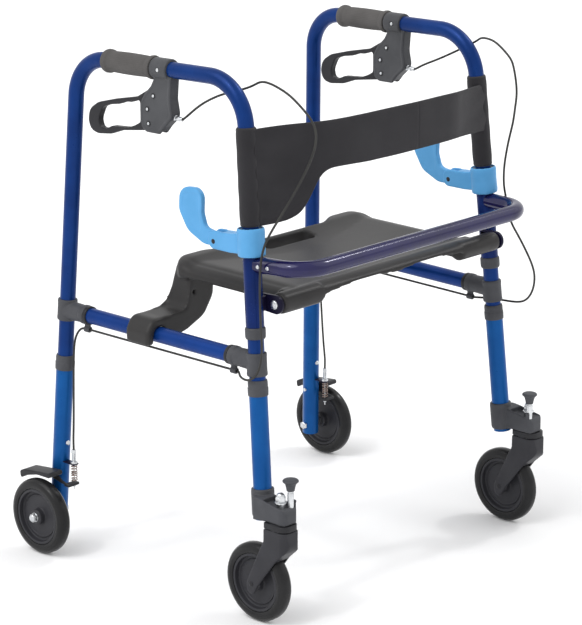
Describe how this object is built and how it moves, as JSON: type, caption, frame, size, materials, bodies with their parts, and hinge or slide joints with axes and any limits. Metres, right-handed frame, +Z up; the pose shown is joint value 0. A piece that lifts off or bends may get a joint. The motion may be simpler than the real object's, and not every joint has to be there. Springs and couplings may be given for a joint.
{
  "type": "rollator",
  "caption": "Folding rollator with loop-lever cable brakes, swivelling front casters, telescopic legs, a flip-up moulded seat and a wrap-round backrest.",
  "frame": {"origin": "on the floor under the middle of the bounding box", "axes": "+Z up, -Y the front, towards which the user walks, +X the user's left"},
  "size_m": [0.7246, 0.5992, 0.8485],
  "materials": {
    "blue_tube": "gloss",
    "blue_leg": "gloss",
    "violet_tube": "gloss",
    "charcoal_plastic": "satin",
    "black_plastic": "matte",
    "grip_foam": "matte",
    "black_fabric": "woven",
    "light_blue_plastic": "satin",
    "wheel_plastic": "satin",
    "tyre_rubber": "matte",
    "steel": "brushed",
    "spring_steel": "satin"
  },
  "bodies": {
    "brace": {"front_bow": "violet_tube", "lower_cross_tube": "violet_tube", "backrest": "black_fabric", "right_brace_sleeve": "blue_tube", "right_sleeve_bushing": "charcoal_plastic", "left_brace_sleeve": "blue_tube", "left_sleeve_bushing": "charcoal_plastic"},
    "seat": {"seat": "charcoal_plastic"},
    "right_frame": {"right_frame_tube": "blue_tube", "right_side_rail": "blue_tube", "right_front_tee": "charcoal_plastic", "right_rear_tee": "charcoal_plastic", "right_grip": "grip_foam", "right_brake_housing": "charcoal_plastic", "right_release_collar": "light_blue_plastic", "right_brake_cable": "black_plastic"},
    "right_paddle": {"right_release_paddle": "light_blue_plastic"},
    "right_lever": {"right_brake_lever": "charcoal_plastic"},
    "right_front_leg": {"right_front_leg": "blue_leg", "right_front_leg_bushing": "charcoal_plastic", "right_caster_bracket": "charcoal_plastic"},
    "right_knob": {"right_lock_knob": "charcoal_plastic"},
    "right_fork": {"right_caster_fork": "charcoal_plastic", "right_caster_axle": "steel"},
    "right_caster_wheel": {"right_caster_hub": "wheel_plastic", "right_caster_tyre": "tyre_rubber"},
    "right_rear_leg": {"right_rear_leg": "blue_leg", "right_rear_leg_bushing": "charcoal_plastic", "right_rear_axle": "steel", "right_brake_spring": "spring_steel"},
    "right_brake_arm": {"right_brake_arm": "black_plastic"},
    "right_rear_wheel": {"right_rear_hub": "wheel_plastic", "right_rear_tyre": "tyre_rubber"},
    "right_button": {"right_snap_button": "steel"},
    "left_frame": {"left_frame_tube": "blue_tube", "left_side_rail": "blue_tube", "left_front_tee": "charcoal_plastic", "left_rear_tee": "charcoal_plastic", "left_grip": "grip_foam", "left_brake_housing": "charcoal_plastic", "left_release_collar": "light_blue_plastic", "left_brake_cable": "black_plastic"},
    "left_paddle": {"left_release_paddle": "light_blue_plastic"},
    "left_lever": {"left_brake_lever": "charcoal_plastic"},
    "left_front_leg": {"left_front_leg": "blue_leg", "left_front_leg_bushing": "charcoal_plastic", "left_caster_bracket": "charcoal_plastic"},
    "left_knob": {"left_lock_knob": "charcoal_plastic"},
    "left_fork": {"left_caster_fork": "charcoal_plastic", "left_caster_axle": "steel"},
    "left_caster_wheel": {"left_caster_hub": "wheel_plastic", "left_caster_tyre": "tyre_rubber"},
    "left_rear_leg": {"left_rear_leg": "blue_leg", "left_rear_leg_bushing": "charcoal_plastic", "left_rear_axle": "steel", "left_brake_spring": "spring_steel"},
    "left_brake_arm": {"left_brake_arm": "black_plastic"},
    "left_rear_wheel": {"left_rear_hub": "wheel_plastic", "left_rear_tyre": "tyre_rubber"},
    "left_button": {"left_snap_button": "steel"}
  },
  "joints": [
    {"name": "right_fold", "type": "hinge", "parent": "brace", "child": "right_frame", "pos_m": [-0.2758, -0.1951, 0.5], "axis": [-0.0336, -0.087, -0.9956], "range_deg": [0, 30], "deforming": ["right_brake_cable", "left_brake_cable"]},
    {"name": "seat_flip", "type": "hinge", "parent": "brace", "child": "seat", "pos_m": [0, -0.2249, 0.499], "axis": [1, 0, 0], "range_deg": [0, 66]},
    {"name": "right_release", "type": "hinge", "parent": "right_frame", "child": "right_paddle", "pos_m": [-0.274, -0.11785, 0.583], "axis": [1, 0, 0], "range_deg": [0, 15], "stiffness_Nm_per_rad": 0.5, "springref_deg": -11.46},
    {"name": "right_brake_squeeze", "type": "hinge", "parent": "right_frame", "child": "right_lever", "pos_m": [-0.2679, 0.01841, 0.78822], "axis": [1, 0, 0], "range_deg": [0, 9], "stiffness_Nm_per_rad": 1, "springref_deg": -17.19},
    {"name": "right_front_leg_height", "type": "slide", "parent": "right_frame", "child": "right_front_leg", "axis": [-0.0336, -0.087, -0.9956], "range_m": [0, 0.1524]},
    {"name": "right_rear_leg_height", "type": "slide", "parent": "right_frame", "child": "right_rear_leg", "axis": [-0.041, 0.051, -0.9979], "range_m": [0, 0.1524]},
    {"name": "right_caster_lock", "type": "slide", "parent": "right_front_leg", "child": "right_knob", "axis": [0, 0, 1], "range_m": [0, 0.006], "stiffness_N_per_m": 500, "springref_m": -0.005},
    {"name": "right_caster_swivel", "type": "hinge", "parent": "right_front_leg", "child": "right_fork", "pos_m": [-0.29804, -0.27087, 0.1605], "axis": [0, 0, 1], "continuous": true},
    {"name": "right_caster_spin", "type": "hinge", "parent": "right_fork", "child": "right_caster_wheel", "pos_m": [-0.29804, -0.22387, 0.0635], "axis": [1, 0, 0], "continuous": true},
    {"name": "right_rear_spin", "type": "hinge", "parent": "right_rear_leg", "child": "right_rear_wheel", "pos_m": [-0.33954, 0.23611, 0.0635], "axis": [1, 0, 0], "continuous": true},
    {"name": "right_brake_press", "type": "hinge", "parent": "right_rear_leg", "child": "right_brake_arm", "pos_m": [-0.29948, 0.23065, 0.133], "axis": [-1, 0, 0], "range_deg": [0, 4], "deforming": ["right_brake_spring"]},
    {"name": "right_button_push", "type": "slide", "parent": "right_rear_leg", "child": "right_button", "axis": [0, 1, 0], "range_m": [0, 0.003], "stiffness_N_per_m": 1000, "springref_m": -0.002},
    {"name": "left_fold", "type": "hinge", "parent": "brace", "child": "left_frame", "pos_m": [0.2758, -0.1951, 0.5], "axis": [-0.0336, 0.087, 0.9956], "range_deg": [0, 30]},
    {"name": "left_release", "type": "hinge", "parent": "left_frame", "child": "left_paddle", "pos_m": [0.274, -0.11785, 0.583], "axis": [1, 0, 0], "range_deg": [0, 15], "stiffness_Nm_per_rad": 0.5, "springref_deg": -11.46},
    {"name": "left_brake_squeeze", "type": "hinge", "parent": "left_frame", "child": "left_lever", "pos_m": [0.2679, 0.01841, 0.78822], "axis": [1, 0, 0], "range_deg": [0, 9], "stiffness_Nm_per_rad": 1, "springref_deg": -17.19},
    {"name": "left_front_leg_height", "type": "slide", "parent": "left_frame", "child": "left_front_leg", "axis": [0.0336, -0.087, -0.9956], "range_m": [0, 0.1524]},
    {"name": "left_rear_leg_height", "type": "slide", "parent": "left_frame", "child": "left_rear_leg", "axis": [0.041, 0.051, -0.9979], "range_m": [0, 0.1524]},
    {"name": "left_caster_lock", "type": "slide", "parent": "left_front_leg", "child": "left_knob", "axis": [0, 0, 1], "range_m": [0, 0.006], "stiffness_N_per_m": 500, "springref_m": -0.005},
    {"name": "left_caster_swivel", "type": "hinge", "parent": "left_front_leg", "child": "left_fork", "pos_m": [0.29804, -0.27087, 0.1605], "axis": [0, 0, 1], "continuous": true},
    {"name": "left_caster_spin", "type": "hinge", "parent": "left_fork", "child": "left_caster_wheel", "pos_m": [0.29804, -0.22387, 0.0635], "axis": [1, 0, 0], "continuous": true},
    {"name": "left_rear_spin", "type": "hinge", "parent": "left_rear_leg", "child": "left_rear_wheel", "pos_m": [0.33954, 0.23611, 0.0635], "axis": [1, 0, 0], "continuous": true},
    {"name": "left_brake_press", "type": "hinge", "parent": "left_rear_leg", "child": "left_brake_arm", "pos_m": [0.29948, 0.23065, 0.133], "axis": [-1, 0, 0], "range_deg": [0, 4], "deforming": ["left_brake_spring"]},
    {"name": "left_button_push", "type": "slide", "parent": "left_rear_leg", "child": "left_button", "axis": [0, 1, 0], "range_m": [0, 0.003], "stiffness_N_per_m": 1000, "springref_m": -0.002}
  ],
  "couplings": [
    {"joint": "right_brake_press", "follows": "right_brake_squeeze", "ratio": 0.4444},
    {"joint": "left_brake_press", "follows": "left_brake_squeeze", "ratio": 0.4444},
    {"joint": "left_fold", "follows": "right_fold", "ratio": 1},
    {"joint": "seat_flip", "follows": "right_fold", "ratio": 2.2}
  ]
}
